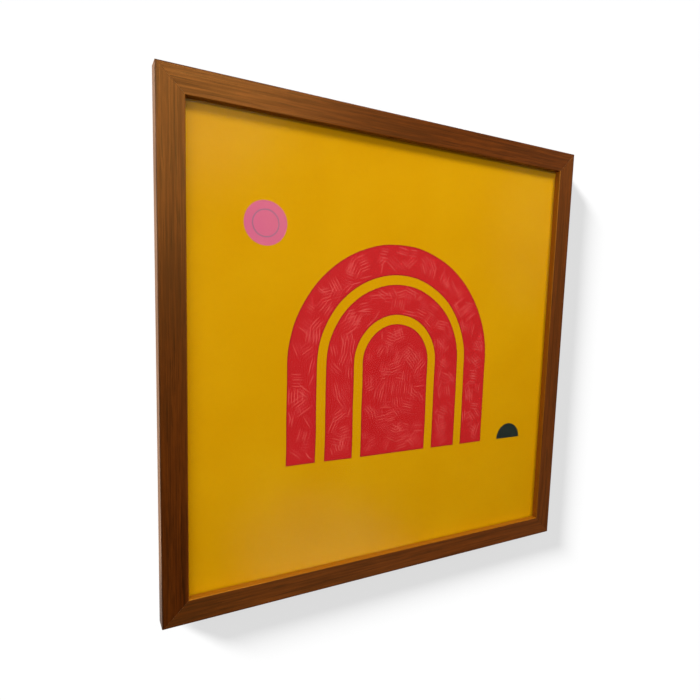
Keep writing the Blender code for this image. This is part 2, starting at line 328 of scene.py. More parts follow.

# Colour inside the lip, painted light and shade by side: lighter than the face, brightest on the bottom lip,
# which faces up, darkest under the top lip
LIP_PAINTED_SHADES = {
    "top_rail": (0.150, 0.0420, 0.0020),
    "right_stile": (0.290, 0.0920, 0.0040),
    "bottom_rail": (0.400, 0.1350, 0.0030),
    "left_stile": (0.290, 0.0920, 0.0040),
}


# Finishes

def stained_wood(name, seed, lip_painted_colour):
    """Brown stain under satin varnish, with straight grain along the object's X, and painted light and shade
    inside the lip.
    """
    material, tree, shader = new_material(name, 0.42)
    place = object_place(tree)
    grain = use_group(tree, GRAIN, Place=place, Seed=seed)
    colour = blend(tree, spread(tree, grain["Figure"], 0.32, 0.68), STAIN_DEEP, STAIN_WARM)
    colour = tint(tree, colour, grain["Mottle"], 0.40, STAIN_MOTTLE)
    colour = blend(tree, spread(tree, grain["Streaks"], 0.40, 0.62, 0.0, 0.88), colour, STAIN_STREAK)
    colour = tint(tree, colour, grain["Pores"], 0.85, STAIN_PORE)
    lip_light_edges = [SIGHT_HALF + beyond for beyond in LIP_LIGHT_BLEND]
    # the lip's inner face takes its painted light and shade here
    lip_light_mask = spread(tree, component(tree, place, "Z"), *lip_light_edges, 0.0, 0.9)
    colour = blend(tree, lip_light_mask, colour, lip_painted_colour)
    join(tree, colour, shader.inputs["Base Color"])
    join(tree, spread(tree, grain["Streaks"], 0.3, 0.7, 0.36, 0.54), shader.inputs["Roughness"])
    set_values(shader, {"Specular Tint": VARNISH_TINT, "Anisotropic": 0.55, "Anisotropic Rotation": 0.25})
    along_grain = add(tree, "ShaderNodeVectorTransform", {"Vector": (1.0, 0.0, 0.0)},
                      vector_type="VECTOR", convert_from="OBJECT", convert_to="WORLD")
    join(tree, along_grain.outputs[0], shader.inputs["Tangent"])
    height = math_node(tree, "SUBTRACT", grain["Streaks"], grain["Pores"])
    raise_bump(tree, shader, height, 0.30, 0.00010)
    return material


def bare_wood(name, seed):
    """Unstained wood at the moulding's back, with stain that has run over its outer edge."""
    material, tree, shader = new_material(name, 0.72, specular=0.25)
    place = object_place(tree)
    grain = use_group(tree, GRAIN, Place=place, Seed=seed)
    colour = blend(tree, spread(tree, grain["Figure"], 0.30, 0.70), BARE_DEEP, BARE_PALE)
    colour = blend(tree, spread(tree, grain["Streaks"], 0.40, 0.70, 0.0, 0.5), colour, BARE_STREAK)
    colour = tint(tree, colour, grain["Pores"], 0.6, BARE_PORE)
    ragged = noise_at(tree, stretched(tree, place, (60.0, 400.0, 400.0)), detail=3.0)
    reach = math_node(tree, "MULTIPLY", ragged, STAIN_REACH)
    from_edge = math_node(tree, "SUBTRACT", HALF, component(tree, place, "Z"))
    run_over = math_node(tree, "SUBTRACT", reach, from_edge)
    colour = blend(tree, spread(tree, run_over, -0.0006, 0.0010, 0.0, 0.9), colour, STAIN_RUN_OVER)
    join(tree, colour, shader.inputs["Base Color"])
    height = math_node(tree, "SUBTRACT", grain["Streaks"], grain["Pores"])
    raise_bump(tree, shader, height, 0.45, 0.00012)
    return material


def printed_ground():
    """The sheet's yellow ground: thin, uneven ink on fine paper, with painted shade close under the top lip.
    """
    material, tree, shader = new_material("yellow_ground", 0.62, specular=0.0)
    place = object_place(tree)
    fibres = use_group(tree, FIBRES, Place=place, Scale=1.0)
    brushed = noise_at(tree, stretched(tree, place, (34.0, 1.0, 12.0)), detail=4.0, rough=0.6, distort=0.4)
    colour = blend(tree, spread(tree, fibres["Clouds"], 0.34, 0.66), GROUND_DEEP, GROUND_PALE)
    colour = blend(tree, spread(tree, brushed, 0.35, 0.70, 0.0, 0.5), colour, GROUND_BRUSHED)
    colour = tint(tree, colour, fibres["Specks"], 0.10, GROUND_SPECK)
    shade_edges = [SIGHT_HALF - within for within in UNDER_LIP_SHADE]
    # painted shade of the top lip on the print
    painted_lip_shade = spread(tree, component(tree, place, "Z"), *shade_edges, 0.0, 0.80)
    colour = blend(tree, painted_lip_shade, colour, GROUND_PAINTED_SHADE)
    join(tree, colour, shader.inputs["Base Color"])
    raise_bump(tree, shader, fibres["Height"], 0.10, 0.00005)
    return material


def plain_paper():
    """The sheet's white back and edges."""
    material, tree, shader = new_material("plain_paper", 0.75, specular=0.1)
    fibres = use_group(tree, FIBRES, Place=object_place(tree), Scale=1.0)
    colour = blend(tree, fibres["Clouds"], PAPER_DEEP, PAPER_PALE)
    join(tree, colour, shader.inputs["Base Color"])
    raise_bump(tree, shader, fibres["Height"], 0.12, 0.00005)
    return material


def ink(name, colour, deep):
    """A flat ink, a little deeper where it lies thicker."""
    material, tree, shader = new_material(name, 0.55, specular=0.08)
    fibres = use_group(tree, FIBRES, Place=object_place(tree), Scale=1.6)
    shade = blend(tree, spread(tree, fibres["Clouds"], 0.32, 0.68), colour, deep)
    shade = tint(tree, shade, fibres["Specks"], 0.12, deep)
    join(tree, shade, shader.inputs["Base Color"])
    raise_bump(tree, shader, fibres["Height"], 0.08, 0.00004)
    return material


def clear_glazing():
    """Clear glazing with a coat that holds reflections down; lamps shine through it."""
    material, tree, shader = new_material("clear_glazing", 0.16)
    set_values(shader, {"Base Color": GLASS_COLOUR, "IOR": 1.16, "Transmission Weight": 1.0})
    path = add(tree, "ShaderNodeLightPath")
    through = add(tree, "ShaderNodeBsdfTransparent")
    mixed = add(tree, "ShaderNodeMixShader")
    join(tree, path.outputs["Is Shadow Ray"], mixed.inputs[0])
    join(tree, shader.outputs[0], mixed.inputs[1])
    join(tree, through.outputs[0], mixed.inputs[2])
    join(tree, mixed.outputs[0], tree.nodes["Material Output"].inputs["Surface"])
    return material


def hardboard():
    """Brown pressed board, its back marked by the screen it was pressed on."""
    material, tree, shader = new_material("hardboard", 0.80, specular=0.2)
    place = object_place(tree)
    fibres = use_group(tree, FIBRES, Place=place, Scale=0.8)
    colour = blend(tree, spread(tree, fibres["Clouds"], 0.32, 0.68), BOARD_DEEP, BOARD_PALE)
    colour = tint(tree, colour, fibres["Specks"], 0.45, BOARD_SPECK)
    flecks = noise_at(tree, stretched(tree, place, (900.0, 900.0, 260.0)), detail=1.0)
    colour = blend(tree, spread(tree, flecks, 0.66, 0.74, 0.0, 0.6), colour, BOARD_FLECK)
    join(tree, colour, shader.inputs["Base Color"])
    wires = []
    for axis in ("X", "Z"):
        wave = add(tree, "ShaderNodeTexWave", {"Scale": 420.0, "Distortion": 0.6}, bands_direction=axis)
        join(tree, place, wave.inputs["Vector"])
        wires.append(wave.outputs["Fac"])
    screen = math_node(tree, "MULTIPLY", *wires)
    height = math_node(tree, "ADD", screen, math_node(tree, "MULTIPLY", fibres["Height"], 0.8))
    raise_bump(tree, shader, height, 0.5, 0.00015)
    return material


def metal(name, colour, smear_colour, rough_low, rough_high):
    """Plated or blackened steel with smears and fine scratches."""
    material, tree, shader = new_material(name, rough_low, metallic=1.0)
    handled = use_group(tree, HANDLED, Place=object_place(tree))
    shade = blend(tree, spread(tree, handled["Smears"], 0.38, 0.68), colour, smear_colour)
    join(tree, shade, shader.inputs["Base Color"])
    rough = spread(tree, handled["Smears"], 0.30, 0.70, rough_low, rough_high)
    join(tree, rough, shader.inputs["Roughness"])
    raise_bump(tree, shader, handled["Scratches"], 0.12, 0.00004)
    return material


def soft_rubber():
    """Matte dark rubber with a dusting of grey."""
    material, tree, shader = new_material("soft_rubber", 0.68, specular=0.35)
    fibres = use_group(tree, FIBRES, Place=object_place(tree), Scale=1.0)
    colour = tint(tree, RUBBER, fibres["Specks"], 0.5, RUBBER_DUST)
    join(tree, colour, shader.inputs["Base Color"])
    raise_bump(tree, shader, fibres["Height"], 0.3, 0.0001)
    return material


STEEL = metal("bright_steel", (0.52, 0.52, 0.51), (0.40, 0.40, 0.39), 0.26, 0.42)
BLACKENED = metal("blackened_steel", (0.035, 0.035, 0.037), (0.080, 0.076, 0.070), 0.34, 0.52)
BRASSED = metal("brassed_steel", (0.62, 0.44, 0.18), (0.46, 0.30, 0.11), 0.24, 0.40)


# Shapes

def finish_piece(piece, node, smooth_angle=None, eased=0.0, eased_steps=2):
    """Ease a piece's edges, smooth its round faces, and let it stand for its node."""
    if smooth_angle:
        piece.data.shade_smooth()
        piece.data.set_sharp_from_angle(angle=math.radians(smooth_angle))
    if eased:
        ease_edges(piece, eased, eased_steps)
    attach(piece, "root")
    if node:
        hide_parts(node)


def ease_edges(piece, width, steps=2):
    """Round every sharp edge a little."""
    bevel = piece.modifiers.new("eased", "BEVEL")
    bevel.width = width
    bevel.segments = steps
    bevel.limit_method = "ANGLE"
    bevel.angle_limit = math.radians(40)
    flat_faces = piece.modifiers.new("flat_faces", "WEIGHTED_NORMAL")
    flat_faces.keep_sharp = True


def new_piece(name, shape, *materials):
    """Put a bmesh in the scene as an object with its materials."""
    bmesh.ops.recalc_face_normals(shape, faces=shape.faces)
    mesh = bpy.data.meshes.new(name)
    shape.to_mesh(mesh)
    shape.free()
    for material in materials:
        mesh.materials.append(material)
    piece = bpy.data.objects.new(name, mesh)
    bpy.context.scene.collection.objects.link(piece)
    return piece


def settle(piece):
    """Make a piece's modifiers part of its mesh, without slivers."""
    bpy.context.view_layer.update()
    evaluated = piece.evaluated_get(bpy.context.evaluated_depsgraph_get())
    mesh = bpy.data.meshes.new_from_object(evaluated)
    shape = bmesh.new()
    shape.from_mesh(mesh)
    bmesh.ops.remove_doubles(shape, verts=shape.verts, dist=SLIVER)
    bmesh.ops.dissolve_degenerate(shape, dist=SLIVER, edges=shape.edges)
    shape.to_mesh(mesh)
    shape.free()
    piece.modifiers.clear()
    piece.data = mesh


def turned(name, profile, steps, material):
    """A (radius, depth) profile turned about Y, listed from the front to the wall."""
    shape = bmesh.new()
    chain = [shape.verts.new((radius, depth, 0.0)) for radius, depth in profile]
    edges = [shape.edges.new(pair) for pair in zip(chain, chain[1:])]
    bmesh.ops.spin(
        shape, geom=chain + edges, cent=(0, 0, 0), axis=(0, 1, 0),
        angle=math.tau, steps=steps, use_merge=True,
    )
    bmesh.ops.remove_doubles(shape, verts=shape.verts, dist=1e-7)
    return new_piece(name, shape, material)


def arc(centre, radius, start, sweep, steps):
    """Points along an arc, both ends included."""
    return [
        (
            centre[0] + radius * math.cos(start + sweep * step / steps),
            centre[1] + radius * math.sin(start + sweep * step / steps),
        )
        for step in range(steps + 1)
    ]


# Moulding

def moulding_outline():
    """Section points as (from the outer edge inward, y), and for each stretch if it is stained."""
    outer = OUTER_ROUND
    inner = INNER_ROUND
    back = BACK_ROUND
    runs = (
        (arc((outer, FRONT_Y + outer), outer, math.pi, QUARTER, ARC_STEPS), True),
        (arc((FACE - inner, FRONT_Y + inner), inner, -QUARTER, QUARTER, ARC_STEPS), True),
        ([(FACE, LIP_BACK_Y), (FLANGE, LIP_BACK_Y), (FLANGE, BACK_Y)], False),
        (arc((back, BACK_Y - back), back, QUARTER, QUARTER, ARC_STEPS // 2), True),
    )
    points = [point for run, _ in runs for point in run]
    stained = [is_stained for run, is_stained in runs for _ in run]
    return points, stained


def plain_copy(node):
    """A copy of a frame piece's mesh without its stored normals, which a cut would pass on."""
    mesh = node.data.copy()
    stored = mesh.attributes.get("custom_normal")
    if stored:
        mesh.attributes.remove(stored)
    return mesh


def fitting_cutter(rail_node, inverse):
    """One mesh of the fittings that are driven into a rail, in the rail's own coordinates."""
    low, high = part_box(rail_node)
    shape = bmesh.new()
    for name in DRIVEN:
        near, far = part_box(name)
        apart = any(near[axis] > high[axis] or far[axis] < low[axis] for axis in range(3))
        if apart:
            continue
        mesh = plain_copy(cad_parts[name])
        if name.startswith("corner_nail"):
            for vertex in mesh.vertices:
                if vertex.co.y > far.y - TINY:
                    vertex.co.y = BACK_Y + SLOT_OPENING
        mesh.transform(inverse)
        shape.from_mesh(mesh)
        bpy.data.meshes.remove(mesh)
    bmesh.ops.remove_doubles(shape, verts=shape.verts, dist=TINY)
    for face in shape.faces:
        face.material_index = BARE
    return shape


def rail(side, name):
    """One length of moulding, mitred at both ends, with slots for what is driven into it."""
    points, stained = moulding_outline()
    shape = bmesh.new()
    reach = HALF - MITRE_GAP / math.sqrt(2)
    ends = [
        [shape.verts.new((sign * (reach - inward), y, HALF - inward)) for inward, y in points]
        for sign in (-1, 1)
    ]
    for index in range(len(points)):
        after = (index + 1) % len(points)
        face = shape.faces.new((ends[0][index], ends[0][after], ends[1][after], ends[1][index]))
        face.material_index = STAINED if stained[index] else BARE
    for end in ends:
        shape.faces.new(end).material_index = BARE
    seed = (3.7 * side + 1.3, 11.1 * side, 5.9 * side)
    finishes = (stained_wood(f"stained_{name}", seed, LIP_PAINTED_SHADES[name]), bare_wood(f"bare_{name}", seed))
    piece = new_piece(f"{name}_moulding", shape, *finishes)
    piece.matrix_world = Matrix.Translation((0, 0, CENTRE_Z)) @ Matrix.Rotation(side * QUARTER, 4, "Y")
    cutter = new_piece(f"{name}_cutter", fitting_cutter(name, piece.matrix_world.inverted()), *finishes)
    cutter.matrix_world = piece.matrix_world
    cut = piece.modifiers.new("slots", "BOOLEAN")
    cut.operation = "DIFFERENCE"
    cut.solver = "EXACT"
    cut.object = cutter
    settle(piece)
    bpy.data.objects.remove(cutter, do_unlink=True)
    finish_piece(piece, name, smooth_angle=30, eased=EASED_EDGE)
    return piece


# Sheets in the rabbet

def sheet_piece(name, low, high, front, rest):
    """A flat sheet with one finish on its front and another elsewhere."""
    shape = bmesh.new()
    bmesh.ops.create_cube(shape, size=1.0)
    bmesh.ops.scale(shape, vec=high - low, verts=shape.verts)
    middle = (low + high) / 2 - Vector((0, 0, CENTRE_Z))
    bmesh.ops.translate(shape, vec=middle, verts=shape.verts)
    for face in shape.faces:
        face.normal_update()
        face.material_index = 0 if face.normal.y < -0.5 else 1
    piece = new_piece(name, shape, front, rest)
    piece.location = (0, 0, CENTRE_Z)
    return piece


def sheets():
    """Glazing, printed sheet and backing board, with eased edges."""
    glass = clear_glazing()
    pane = sheet_piece("glazing_pane", GLAZING_LOW, GLAZING_HIGH, glass, glass)
    finish_piece(pane, "glazing", eased=0.0003)
    pane.visible_diffuse = False
    paper = sheet_piece("print_sheet", PRINT_LOW, PRINT_HIGH, printed_ground(), plain_paper())
    finish_piece(paper, "art_print", eased=0.00008)
    board = hardboard()
    backing = sheet_piece("hardboard_back", BOARD_LOW, BOARD_HIGH, board, board)
    finish_piece(backing, "backing_board", eased=0.0004, eased_steps=3)
    return pane


# The printed design, in metres right and up from the picture's centre

ARCH_FOOT = -0.098             # where the arches stand
ARCH_SPRING = -0.008           # where their legs turn into rounds
ARCH_BANDS = ((0.1120, 0.0835), (0.0745, 0.0460), (0.0370, 0.0))
DOT_PLACE = (-0.132, 0.112)
DOT_RADIUS = 0.0185
RING_RADIUS = 0.0112
RING_WIDTH = 0.0008
MOUND_PLACE = (0.1515, ARCH_FOOT)
MOUND_RADIUS = 0.0165
RIM_WIDTH = 0.0009             # darker edge round the red shapes
WOBBLE = 0.00045               # unevenness of a hand-cut edge
WOBBLE_SCALE = 38.0
FILM = 0.00004                 # thickness of one layer of ink
STROKE_WIDTH = 0.00095
STROKE_PITCH = 0.00270
STROKE_MARGIN = 0.0012
STROKE_LENGTHS = (0.0085, 0.0170)
STROKE_SHIFT = 0.0012
STROKE_BOW = 0.0004
CLUSTER_PITCH = 0.0118
LEVELS = 4                     # clusters this many apart may share a level
LEVEL_STEP = 0.05              # of a film's thickness
INK_SEED = 5
ARCH_EDGE, DOT_EDGE, MOUND_EDGE = 1.0, 3.0, 5.0    # seeds of the uneven edges


def wobbled(pairs, seed):
    """Shift a shape's edge a little, as a hand-cut edge has it."""
    def shifted(point):
        x, z = point
        shift = noise.noise_vector((x * WOBBLE_SCALE + seed, z * WOBBLE_SCALE, seed))
        return (x + shift.x * WOBBLE, z + shift.y * WOBBLE)
    return [(shifted(left), shifted(right)) for left, right in pairs]


def arch(outer, inner, inset=0.0, steps=64, leg_steps=14):
    """An arch as pairs of points across its band, from one foot round to the other."""
    outer -= inset
    inner = inner + inset if inner else 0.0
    foot = ARCH_FOOT + inset
    legs = [foot + (ARCH_SPRING - foot) * step / leg_steps for step in range(leg_steps)]
    pairs = [((-inner, z), (-outer, z)) for z in legs]
    for step in range(steps + 1):
        angle = math.pi - math.pi * step / steps
        across, up = math.cos(angle), math.sin(angle)
        pairs.append((
            (inner * across, ARCH_SPRING + inner * up), (outer * across, ARCH_SPRING + outer * up),
        ))
    return pairs + [((inner, z), (outer, z)) for z in reversed(legs)]


def half_disc(centre, radius, steps=40):
    """A half disc on its flat side, as pairs of points from its left side to its right, bottom to top."""
    pairs = []
    for step in range(steps):
        angle = QUARTER * step / steps
        reach, z = radius * math.cos(angle), centre[1] + radius * math.sin(angle)
        pairs.append(((centre[0] - reach, z), (centre[0] + reach, z)))
    return pairs


def door(width, inset=0.0, leg_steps=12):
    """The solid innermost arch, as pairs of points from its left side to its right."""
    width -= inset
    foot = ARCH_FOOT + inset
    heights = [foot + (ARCH_SPRING - foot) * step / leg_steps for step in range(leg_steps)]
    return [((-width, z), (width, z)) for z in heights] + half_disc((0.0, ARCH_SPRING), width)


def disc(centre, radius, steps=40):
    """A disc as pairs of points from its left side to its right, bottom to top."""
    pairs = []
    for step in range(1, steps):
        angle = math.pi * step / steps - QUARTER
        reach, z = radius * math.cos(angle), centre[1] + radius * math.sin(angle)
        pairs.append(((centre[0] - reach, z), (centre[0] + reach, z)))
    return pairs


def ring(centre, radius, width, steps=72):
    """A closed ring as pairs of points across its line."""
    pairs = []
    for step in range(steps + 1):
        angle = math.tau * step / steps
        across, up = math.cos(angle), math.sin(angle)
        pairs.append(tuple(
            (centre[0] + reach * across, centre[1] + reach * up)
            for reach in (radius - width / 2, radius + width / 2)
        ))
    return pairs


def stroke(middle, direction, length, bow):
    """A thin pencil-like stroke that narrows at both ends and bows a little."""
    across = Vector((-direction.y, direction.x))
    pairs = []
    for share in (-1.0, -0.6, 0.0, 0.6, 1.0):
        spine = middle + direction * (share * length / 2) + across * (bow * (1 - share * share))
        half_width = across * (STROKE_WIDTH / 2 * (1 - 0.8 * share * share))
        pairs.append((tuple(spine - half_width), tuple(spine + half_width)))
    return pairs


def film(shape, pairs, layer):
    """Add a thin closed film of ink, over the sheet and the layers under it; a layer may be a fraction."""
    top = PRINT_LOW.y - FILM * layer
    foot = PRINT_LOW.y + FILM
    rows = [
        [shape.verts.new((x, y, z)) for y in (top, foot) for x, z in pair] for pair in pairs
    ]
    for here, there in zip(rows, rows[1:]):
        for first, second in ((0, 1), (1, 3), (3, 2), (2, 0)):
            shape.faces.new((here[first], here[second], there[second], there[first]))
    for left, right, left_foot, right_foot in (rows[0], rows[-1]):
        shape.faces.new((left, left_foot, right_foot, right))


def print_film(name, outlines, layer, colour, levels=None):
    """One colour of the print; levels lift its outlines a hair, so that crossing ones share no plane."""
    shape = bmesh.new()
    for pairs, level in zip(outlines, levels or [0] * len(outlines)):
        film(shape, pairs, layer + LEVEL_STEP * level)
    piece = new_piece(name, shape, ink(f"{colour}_ink", *INKS[colour]))
    piece.location = (0, 0, CENTRE_Z)
    finish_piece(piece, None)


def inside(point, pairs):
    """True if a point lies within a shape given as pairs."""
    outline = [left for left, _ in pairs] + [right for _, right in reversed(pairs)]
    x, z = point
    crossed = False
    for (x1, z1), (x2, z2) in zip(outline, outline[1:] + outline[:1]):
        if (z1 > z) != (z2 > z) and x < (x2 - x1) * (z - z1) / (z2 - z1) + x1:
            crossed = not crossed
    return crossed


def stroke_cluster(middle, level, pairs, chance):
    """A few short parallel strokes at one angle, those that stay within the shape, with their level."""
    angle = chance.uniform(0, math.pi)
    direction = Vector((math.cos(angle), math.sin(angle)))
    across = Vector((-direction.y, direction.x))
    count = chance.randint(3, 6)
    usual = chance.uniform(*STROKE_LENGTHS)
    strokes = []
    for index in range(count):
        length = usual * chance.uniform(0.75, 1.1)
        place = (index - (count - 1) / 2) * STROKE_PITCH
        centre = middle + across * (place * chance.uniform(0.9, 1.1))
        centre += direction * chance.uniform(-STROKE_SHIFT, STROKE_SHIFT)
        bow = chance.uniform(-STROKE_BOW, STROKE_BOW)
        reach = direction * (length / 2 + STROKE_MARGIN)
        if inside(centre + reach, pairs) and inside(centre - reach, pairs) and inside(centre, pairs):
            strokes.append((stroke(centre, direction, length, bow), level))
    return strokes


def hatching(pairs, chance):
    """Clusters of strokes over a whole shape, each at its own angle."""
    points = [point for pair in pairs for point in pair]
    low = Vector((min(x for x, _ in points), min(z for _, z in points)))
    high = Vector((max(x for x, _ in points), max(z for _, z in points)))
    columns, rows = (math.ceil((high[axis] - low[axis]) / CLUSTER_PITCH) for axis in (0, 1))
    strokes = []
    for row in range(rows):
        for column in range(columns):
            jitter = Vector((chance.uniform(0, 1), chance.uniform(0, 1)))
            middle = low + (Vector((column, row)) + jitter) * CLUSTER_PITCH
            level = (row % LEVELS) * LEVELS + column % LEVELS
            strokes += stroke_cluster(middle, level, pairs, chance)
    return strokes


def printed_design():
    """Three nested red arches, a ringed dot and a low dark mound."""
    rims = [arch(*band) if band[1] else door(band[0]) for band in ARCH_BANDS]
    fields = [arch(*band, RIM_WIDTH) if band[1] else door(band[0], RIM_WIDTH) for band in ARCH_BANDS]
    noise.seed_set(INK_SEED)
    chance = random.Random(INK_SEED)
    strokes = [pairs for field in fields for pairs in hatching(field, chance)]
    half = len(strokes) // 2
    chance.shuffle(strokes)
    print_film("deep_red_rims", [wobbled(pairs, ARCH_EDGE) for pairs in rims], 1, "deep_red")
    print_film("red_fields", [wobbled(pairs, ARCH_EDGE) for pairs in fields], 2, "red")
    for colour, part in (("light_red", strokes[:half]), ("dull_red", strokes[half:])):
        outlines, levels = zip(*part)
        print_film(f"{colour}_strokes", outlines, 3, colour, levels)
    dot = wobbled(disc(DOT_PLACE, DOT_RADIUS), DOT_EDGE)
    dot_ring = wobbled(ring(DOT_PLACE, RING_RADIUS, RING_WIDTH), DOT_EDGE)
    mound = wobbled(half_disc(MOUND_PLACE, MOUND_RADIUS), MOUND_EDGE)
    print_film("pink_dot", [dot], 1, "pink")
    print_film("mauve_ring", [dot_ring], 2, "mauve")
    print_film("dark_mound", [mound], 1, "dark")


# Fittings at the back

HANGER_THICK = 0.0009
HANGER_RAISED = 0.0270         # length of the raised, toothed part
HANGER_RAMP = 0.0035           # length of each slope up to it
HANGER_END_ROUND = 0.0022
HANGER_HOLE = 0.0009
NAIL_SIDES = 32                # also those of its hole
NOTCHES = 7
NOTCH_WIDE = 0.0024
NOTCH_DEEP = 0.0015
NOTCH_PITCH = 0.0032
BEND_CUTS = 10
NAIL_SHANK = 0.0006
NAIL_HEAD = 0.0015
HEAD_EDGE = 0.35               # the rounded head's rim, as a share of its height
DOME_STEPS = 8
HANGER_NAILS = ("hanger_nail_left", "hanger_nail_right")
BUMPER_FOOT = 0.00035          # how far the foot stands out, and its thickness
BUMPER_TAPER = 0.0004
BUMPER_TOP_ROUND = 0.0011
BUMPER_SIDES = 48
FITTING_EDGE = 0.0001


def hanger_edge(long, wide):
    """The hanger's flat outline: round corners, notches along its lower edge."""
    end, half, corner = long / 2, wide / 2, HANGER_END_ROUND
    points = arc((corner - end, corner - half), corner, math.pi, QUARTER, ARC_STEPS)
    for index in range(NOTCHES):
        x = (index - (NOTCHES - 1) / 2) * NOTCH_PITCH
        points += [(x - NOTCH_WIDE / 2, -half), (x, NOTCH_DEEP - half), (x + NOTCH_WIDE / 2, -half)]
    points += arc((end - corner, corner - half), corner, -QUARTER, QUARTER, ARC_STEPS)
    points += arc((end - corner, half - corner), corner, 0.0, QUARTER, ARC_STEPS)
    points += arc((corner - end, half - corner), corner, QUARTER, QUARTER, ARC_STEPS)
    return points


def flat_plate(name, outlines, thickness):
    """A plate with its first outline as its edge and the others as holes, standing upright."""
    curve = bpy.data.curves.new(name, "CURVE")
    curve.dimensions = "2D"
    curve.fill_mode = "BOTH"
    curve.extrude = thickness / 2
    for outline in outlines:
        spline = curve.splines.new("POLY")
        spline.points.add(len(outline) - 1)
        for point, (x, y) in zip(spline.points, outline):
            point.co = (x, y, 0.0, 1.0)
        spline.use_cyclic_u = True
    drawn = bpy.data.objects.new(name, curve)
    bpy.context.scene.collection.objects.link(drawn)
    bpy.context.view_layer.update()
    mesh = bpy.data.meshes.new_from_object(drawn.evaluated_get(bpy.context.evaluated_depsgraph_get()))
    bpy.data.objects.remove(drawn, do_unlink=True)
    mesh.transform(UPRIGHT)
    shape = bmesh.new()
    shape.from_mesh(mesh)
    bmesh.ops.remove_doubles(shape, verts=shape.verts, dist=TINY)
    return shape


def hanger():
    """A strip with a raised, toothed middle, bent in smooth slopes down to its nailed ends."""
    long, wide = HANGER_HIGH.x - HANGER_LOW.x, HANGER_HIGH.z - HANGER_LOW.z
    turn = -math.tau * (NAIL_SIDES - 1) / NAIL_SIDES
    holes = []
    for low, high in (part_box(name) for name in HANGER_NAILS):
        holes.append(arc(((low.x + high.x) / 2, 0.0), HANGER_HOLE, 0.0, turn, NAIL_SIDES - 1))
    shape = flat_plate("hanger", [hanger_edge(long, wide)] + holes, HANGER_THICK)
    top, foot = HANGER_RAISED / 2, HANGER_RAISED / 2 + HANGER_RAMP
    for side in (-1, 1):
        for step in range(BEND_CUTS + 1):
            x = side * (top + HANGER_RAMP * step / BEND_CUTS)
            whole = shape.verts[:] + shape.edges[:] + shape.faces[:]
            bmesh.ops.bisect_plane(shape, geom=whole, plane_co=(x, 0, 0), plane_no=(1, 0, 0))
    drop = (HANGER_HIGH.y - HANGER_LOW.y) - HANGER_THICK
    for vertex in shape.verts:
        share = min(max((abs(vertex.co.x) - top) / (foot - top), 0.0), 1.0)
        vertex.co.y -= drop * (3 - 2 * share) * share * share
    piece = new_piece("toothed_hanger", shape, BRASSED)
    piece.location = (0, HANGER_HIGH.y - HANGER_THICK / 2, (HANGER_LOW.z + HANGER_HIGH.z) / 2)
    finish_piece(piece, "sawtooth_hanger", smooth_angle=35, eased=FITTING_EDGE)


def hanger_nails():
    """Round-headed nails through the hanger's ends."""
    turns = [QUARTER * step / DOME_STEPS for step in range(DOME_STEPS, -1, -1)]
    for name in HANGER_NAILS:
        low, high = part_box(name)
        under_head = HANGER_LOW.y + HANGER_THICK + TOUCH_GAP
        head_high = high.y - under_head
        profile = [(0.0, low.y), (NAIL_SHANK, low.y + 2 * NAIL_SHANK), (NAIL_SHANK, under_head)]
        profile.append((NAIL_HEAD * 0.97, under_head))
        for turn in turns:
            rise = HEAD_EDGE + (1 - HEAD_EDGE) * math.cos(turn)
            profile.append((NAIL_HEAD * math.sin(turn), under_head + head_high * rise))
        piece = turned(f"{name}_turned", profile, NAIL_SIDES, STEEL)
        piece.location = ((low.x + high.x) / 2, 0, (low.z + high.z) / 2)
        finish_piece(piece, name, smooth_angle=40)


def bumpers():
    """Soft bumpers with rounded shoulders on a thin foot."""
    rubber = soft_rubber()
    for name in ("wall_bumper_left", "wall_bumper_right"):
        low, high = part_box(name)
        radius = (high.x - low.x) / 2
        body = radius - BUMPER_FOOT
        foot = low.y + BUMPER_FOOT
        shoulder = (body - BUMPER_TOP_ROUND - BUMPER_TAPER, high.y - BUMPER_TOP_ROUND)
        profile = [(0.0, low.y), (radius, low.y), (radius, foot), (body, low.y + BUMPER_FOOT * 1.4)]
        profile += arc(shoulder, BUMPER_TOP_ROUND, 0.0, QUARTER, 8)
        profile += [(0.0, high.y)]
        piece = turned(f"{name}_turned", profile, BUMPER_SIDES, rubber)
        piece.location = ((low.x + high.x) / 2, 0, (low.z + high.z) / 2)
        finish_piece(piece, name, smooth_angle=40)


def dress_nodes(start, material):
    """Give the frame's own pieces whose names start alike an eased edge and a finish."""
    for name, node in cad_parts.items():
        if name.startswith(start):
            node.data.materials.clear()
            node.data.materials.append(material)
            ease_edges(node, FITTING_EDGE)


# Stage and light

STAGE_WALL_Y = 0.005           # a little behind the bumpers
FLOOR_Z = -1.35
WALL_WIDTH = 5.0
WALL_HEIGHT = 3.2
ROOM_DEPTH = 3.0
WALL_GLOW = 0.697
WALL_COLOUR = (0.12, 0.12, 0.12, 1.0)
FLOOR_DEEP = (0.80, 0.80, 0.79)
FLOOR_PALE = (0.86, 0.86, 0.85)
FLOOR_GLOW = 0.30
SHADOW_FALL = (2.80, 1.0, -2.18)         # along which the wall shadow falls
SHADOW_SUN_POWER = 28.0
SHADOW_SUN_ANGLE = math.radians(10.4)
REAR_WALL_COLOUR = (0.78, 0.76, 0.74)    # what smooth pieces at the back mirror
CENTRE = Vector((0, FRONT_Y, CENTRE_Z))

WHITE = (1.0, 1.0, 1.0)
SOFT, GLOSS, WHOLE = "soft", "gloss", "whole"    # the part of a lamp's light that is used

